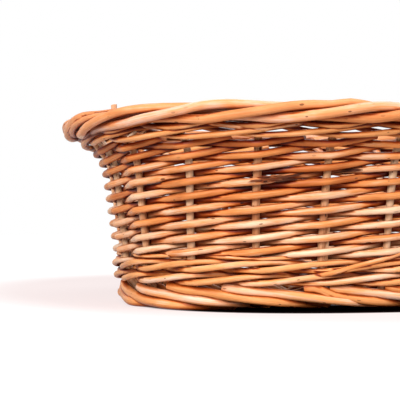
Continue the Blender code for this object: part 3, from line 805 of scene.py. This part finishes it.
# The mending rod's radius and course: place, rise and distance outward
MENDING_RADIUS = 2.2 * MM
MENDING_COURSE = ((-1.3, 22 * MM, -2 * MM), (-0.98, 25.5 * MM, 8 * MM), (-0.5, 32.5 * MM, 8.5 * MM),
                  (0.0, 39.7 * MM, 7.5 * MM), (0.35, 45 * MM, 2 * MM), (0.6, 49 * MM, -3 * MM))

# Bark: from where to where, and how many slivers
BARK_STRETCHES, BARK_ROW, BARK_FROM = ((-2.2, -1.25, 20), (-0.94, -0.42, 10)), 11, -2
SLIVER_LENGTH, SLIVER_ROLL, SLIVER_THICKNESS = (0.12, 0.34), (-1.0, 1.2), (0.35, 0.8)
SLIVER_WEAVE, SLIVER_OUT, SLIVER_LIFT, SLIVER_PROUD = 6 * MM, 3.3 * MM, 3.1 * MM, 0.6 * MM

# Cut ends under the border: place, rise, and how much further round they start
CUT_ENDS = ((-3.72, 155 * MM, 0.10), (-3.64, 151.5 * MM, 0.08), (-3.83, 152 * MM, 0.10),
            (-4.55, 153 * MM, 0.06))
CUT_END_RADIUS, CUT_END_INNER, CUT_END_OUTER = 1.8 * MM, -2 * MM, 8.5 * MM
STUB_PLACE, STUB_INSET, STUB_RADIUS, STUB_TILT = -4.05, 9 * MM, 2.8 * MM, 1 * MM
STUB_BOTTOM, STUB_TOP = 160 * MM, 178.8 * MM


def end_strands():
    """Short strands laid in between the stakes' own where the border turns round its two ends."""
    rods = Rods()
    for first in END_STRANDS:
        points = []
        for gone in END_STRAND_RUN:
            swell = -END_STRAND_SINK - END_STRAND_ARCH * (gone - 2) ** 2
            points.append(border_point(first + gone, BORDER_START + BORDER_SHIFT * gone, swell))
        rods.add(points, END_STRAND_RADIUS, COARSE, cut=(0.4, 0.6))
    rods.build("end_strands", BORDER_WILLOW, [])


def border_filling():
    """Thin rods laid in the middle of the border, which close the gaps between its strands."""
    rods = Rods()
    for out in BORDER_FILL_PLACES:
        points = []
        for u in range(STAKES + 1):
            points.append((*plan(u, BORDER_OFFSET + out), border_point(u, 0)[2] + BORDER_FILL))
        rods.add(points, BORDER_FILL_RADIUS, 9 * MM, sides=8)
    rods.build("border_filling", WALE_WILLOW, [])


def bye_stakes():
    """Thin extra uprights pushed in beside a stake."""
    rods = Rods()
    for u, low, high, radius, out in BYE_STAKES:
        points = [wall(u, rise, out) for rise in np.linspace(low, high, 6)]
        rods.add(points, radius, 10 * MM, sides=8, tone=0.35)
    rods.build("bye_stakes", STAKE_WILLOW, [])


def mending_rod():
    """The steep thin rod that crosses the bottom wale at the right."""
    points = [wall(u, rise, out) for u, rise, out in MENDING_COURSE]
    rod("mending_rod", SIDING_WILLOW, [], "siding_willow", points, MENDING_RADIUS, MEDIUM, sides=8, tone=0.5)


def torn_bark():
    """Slivers of dark bark left on one siding rod, from one stake to the next and half-way on from there."""
    rods = Rods()
    for low, high, count in BARK_STRETCHES:
        for _ in range(count):
            length, roll = chance.uniform(*SLIVER_LENGTH), chance.uniform(*SLIVER_ROLL)
            start = low + (high - low - length) * 0.5 * (chance.uniform(0, 1) + chance.uniform(0, 1))
            points = []
            for share in (0, 0.5, 1):
                u = start + length * share
                out = SLIVER_WEAVE * math.cos(math.pi * (u - BARK_FROM))
                out += SLIVER_OUT * math.cos(roll) + SLIVER_PROUD
                rise = siding_rise(BARK_ROW + u - BARK_FROM) + SLIVER_LIFT * math.sin(roll)
                points.append(wall(u, rise + wobble(SIDING_WANDER), out))
            thick = chance.uniform(*SLIVER_THICKNESS) * MM
            rods.add(points, [0.25 * thick, thick, 0.2 * thick], 5 * MM, sides=6)
    rods.build("torn_bark", BARK, [])


def brim_stubs():
    """Cut ends of filler rods that show under the border at the left, and one that stands up behind it."""
    rods = Rods()
    for u, rise, side in CUT_ENDS:
        points = [wall(u + side, rise, CUT_END_INNER), wall(u, rise, CUT_END_OUTER)]
        rods.add(points, CUT_END_RADIUS, 4 * MM, sides=8, tone=1.0)
    x, y = plan(STUB_PLACE, BORDER_OFFSET - STUB_INSET)
    points = [(x, y, STUB_BOTTOM), (x - STUB_TILT, y, STUB_TOP)]
    rods.add(points, STUB_RADIUS, 5 * MM, sides=8, tone=0, cut=(0, 0.1))
    rods.build("brim_stubs", STAKE_WILLOW, [])


base()
for number in range(STAKES):
    stake(number)
    siding_rod(number)
    foot_rod(number)
wale("bottom_wale", BOTTOM_WALE_RISE, 2, 0, BOTTOM_WALE_SPREAD, (0.35, 0.8))
wale("top_wale", TOP_WALE_RISE, 1, TOP_WALE_LIFT, TOP_WALE_SPREAD, (0.0, 0.4))
for number in range(2):
    brim_filler(number)
thin_rod("brim_filler_3", FILLER_RISE - THIRD_FILLER_DROP, THIRD_FILLER_RADIUS, 4)
thin_rod("wale_filler", FIRST_SIDING_RISE - WALE_FILLER_DROP, WALE_FILLER_RADIUS, 2)
end_strands()
border_filling()
bye_stakes()
mending_rod()
torn_bark()
brim_stubs()


# Painted shade in crevices

CREVICE_REACH, CREVICE_RAYS, CREVICE_SPREAD = 19 * MM, 16, 0.98
RAY_START, GROUND_HALF, GROUND_DROP = 0.3 * MM, 1, 0.2 * MM


def obstacles(places):
    """A tree of every piece's faces and of the table, so that the painted shade also darkens the rods near
    the table.
    """
    faces, start = [], 0
    for piece, co in zip(pieces, places):
        faces += [tuple(start + v for v in polygon.vertices) for polygon in piece.data.polygons]
        start += len(co)
    corners = ((-1, -1), (1, -1), (1, 1), (-1, 1))
    ground = [(x * GROUND_HALF, y * GROUND_HALF, -GROUND_DROP) for x, y in corners]
    faces.append(tuple(range(start, start + len(ground))))
    return BVHTree.FromPolygons(np.vstack(places + [ground]).tolist(), faces)


def rows(items, key):
    """One place or direction from each item, as rows of three."""
    flat = np.empty(3 * len(items), np.float32)
    items.foreach_get(key, flat)
    return flat.reshape(-1, 3)


def crevices():
    """How closed in each point is, found by rays to what lies near it, kept as an attribute from which the
    materials paint shade.
    """
    places = [rows(piece.data.vertices, "co") for piece in pieces]
    tree = obstacles(places)
    sphere = chance.normal(size=(CREVICE_RAYS, 3))
    sphere /= np.linalg.norm(sphere, axis=1)[:, None]
    for piece, co in zip(pieces, places):
        mesh = piece.data
        normals = rows(mesh.vertex_normals, "vector")
        origins = co + RAY_START * normals
        closed = np.zeros(len(co))
        for direction in sphere:
            rays = normals + CREVICE_SPREAD * direction
            rays /= np.linalg.norm(rays, axis=1)[:, None]
            for n, (origin, ray) in enumerate(zip(origins.tolist(), rays.tolist())):
                distance = tree.ray_cast(origin, ray, CREVICE_REACH)[3]
                if distance is not None:
                    closed[n] += 1 - distance / CREVICE_REACH
        attribute = mesh.attributes.new("crevice_shade", "FLOAT", "POINT")
        attribute.data.foreach_set("value", (closed / CREVICE_RAYS).astype(np.float32))


crevices()


# Studio

WHITE, WORLD_LIGHT, FLOOR_SIZE = (1, 1, 1), 0.07, 12

# The table's colour for light, as seen, and of the painted shadow under the basket
FLOOR_PAPER, FLOOR_SEEN, FLOOR_PAINTED_SHADOW = (0.45, 0.43, 0.43), (0.20, 0.20, 0.20), (0.01, 0.004, 0.004)

# The painted soft pink shadow round the basket, in an oval that is longer from front to back
FLOOR_SHADOW_TINT, TINT_SCALE = (0.80, 0.70, 0.695), (1, 0.75, 1)
TINT_MIDDLE, TINT_EDGE = (0.05, 0.15, 0), (0.31, 0.46)

# The painted shadow under the basket: its half size, how dark its middle is, and where that and its rim end
DARK_HALF_SIZE, DARK_MIDDLE = (186 * MM, 157 * MM), 0.75
DARK_MIDDLE_EDGE, DARK_RIM = (0.0, 0.12), (0.93, 1.07)

# The photo's camera
CAMERA_PLACE, CAMERA_YAW, CAMERA_PITCH = (-0.4094, -1.1811, 0.077), math.radians(13.541), math.radians(0.928)
SENSOR_WIDTH, FOCAL_LENGTH = 36, 116.7


def looking(tree):
    """One for rays from the camera and for reflections and refractions of it, nothing for diffuse light."""
    path = tree.add("LightPath").outputs
    direct = tree.maths("MAXIMUM", path["Is Camera Ray"], path["Is Glossy Ray"])
    return tree.maths("MAXIMUM", direct, path["Is Transmission Ray"])


def painted_floor_shadow(tree, position):
    """How dark the shadow painted on the table under the basket is: one inside its foot, less in the middle,
    nothing outside it.
    """
    parts = tree.add("SeparateXYZ", {0: position}).outputs
    powers = []
    for axis, half in zip("XY", DARK_HALF_SIZE):
        share = tree.maths("DIVIDE", tree.maths("ABSOLUTE", parts[axis]), half)
        powers.append(tree.maths("POWER", share, OUTLINE_POWER))
    total = tree.maths("ADD", *powers)
    middle = tree.eased(total, *DARK_MIDDLE_EDGE, to=(DARK_MIDDLE, 1))
    return tree.maths("MULTIPLY", middle, tree.eased(total, *DARK_RIM, to=(1, 0)))


def floor():
    """A white table with a painted black shadow under the basket: for light a plain one, and for the camera
    one with a painted soft pink shadow round the basket.
    """
    bpy.ops.mesh.primitive_plane_add(size=FLOOR_SIZE, location=(0, 0, 0))
    plane = bpy.context.object
    plane.name = "studio_floor"
    material = bpy.data.materials.new("studio_floor")
    tree = Tree(material)
    tree.nodes.remove(tree.nodes["Principled BSDF"])
    position = tree.add("NewGeometry").outputs["Position"]
    painted_shadow = painted_floor_shadow(tree, position)
    paper = tree.add("BsdfDiffuse", {"Color": tree.mixed(painted_shadow, FLOOR_PAPER, FLOOR_PAINTED_SHADOW)})
    seen = tree.add("BsdfDiffuse", {"Color": tree.mixed(painted_shadow, FLOOR_SEEN, FLOOR_PAINTED_SHADOW)})

    scaled = tree.add("VectorMath", {0: position, 1: TINT_SCALE}, operation="MULTIPLY")
    distance = tree.add("VectorMath", {0: scaled.outputs["Vector"], 1: TINT_MIDDLE}, operation="DISTANCE")
    soft_shadow = tree.mixed(tree.eased(distance.outputs["Value"], *TINT_EDGE), FLOOR_SHADOW_TINT, WHITE)
    glow = tree.add("Emission", {"Color": soft_shadow, "Strength": tree.maths("SUBTRACT", 1, painted_shadow)})

    view = tree.add("AddShader", {0: seen.outputs[0], 1: glow.outputs[0]})
    either = tree.add("MixShader", {"Fac": looking(tree), 1: paper.outputs[0], 2: view.outputs[0]})
    tree.link(either.outputs[0], tree.nodes["Material Output"].inputs["Surface"])
    plane.data.materials.append(material)


def softbox(name, place, target, size, power, colour=WHITE):
    """A rectangular lamp that faces its target."""
    light = bpy.data.lights.new(name, "AREA")
    light.shape = "RECTANGLE"
    light.size, light.size_y = size
    light.energy = power
    light.color = colour
    lamp = bpy.data.objects.new(name, light)
    lamp.location = place
    lamp.rotation_mode = "QUATERNION"
    lamp.rotation_quaternion = (Vector(target) - Vector(place)).to_track_quat("-Z", "Y")
    bpy.context.scene.collection.objects.link(lamp)


def world():
    """White to look at, and a weak light on the object."""
    surroundings = bpy.data.worlds.new("studio")
    tree = Tree(surroundings)
    light = tree.nodes["Background"]
    tree.feed(light.inputs["Color"], WHITE)
    tree.feed(light.inputs["Strength"], WORLD_LIGHT)
    seen = tree.add("Background", {"Color": WHITE, "Strength": 1})
    mix = tree.add("MixShader", {"Fac": looking(tree), 1: light.outputs[0], 2: seen.outputs[0]})
    tree.link(mix.outputs[0], tree.nodes["World Output"].inputs["Surface"])
    bpy.context.scene.world = surroundings


def camera():
    """Stands where the photo was taken from."""
    lens = bpy.data.cameras.new("photo_camera")
    lens.sensor_width = SENSOR_WIDTH
    lens.lens = FOCAL_LENGTH
    body = bpy.data.objects.new("photo_camera", lens)
    body.location = CAMERA_PLACE
    level = math.cos(CAMERA_PITCH)
    ahead = Vector((math.sin(CAMERA_YAW) * level, math.cos(CAMERA_YAW) * level, math.sin(CAMERA_PITCH)))
    body.rotation_mode = "QUATERNION"
    body.rotation_quaternion = ahead.to_track_quat("-Z", "Y")
    bpy.context.scene.collection.objects.link(body)
    bpy.context.scene.camera = body


floor()
world()
softbox("key", (-1.1, -1.4, 0.85), (0, -0.05, 0.09), (1.2, 0.9), 38, (1, 0.98, 0.96))
softbox("side", (-1.7, -0.2, 0.7), (0, 0, 0.09), (0.9, 0.7), 1.8, (1, 0.97, 0.95))
softbox("top", (0.1, -0.8, 1.5), (0, -0.05, 0.1), (1.4, 0.7), 15)
softbox("back", (0.7, 1.5, 0.8), (0, 0, 0.09), (1.2, 0.9), 7)
softbox("fill", (1.1, -1.6, 0.6), (0, 0, 0.08), (1.0, 1.0), 9)
camera()
bpy.context.scene.view_settings.view_transform = "Standard"
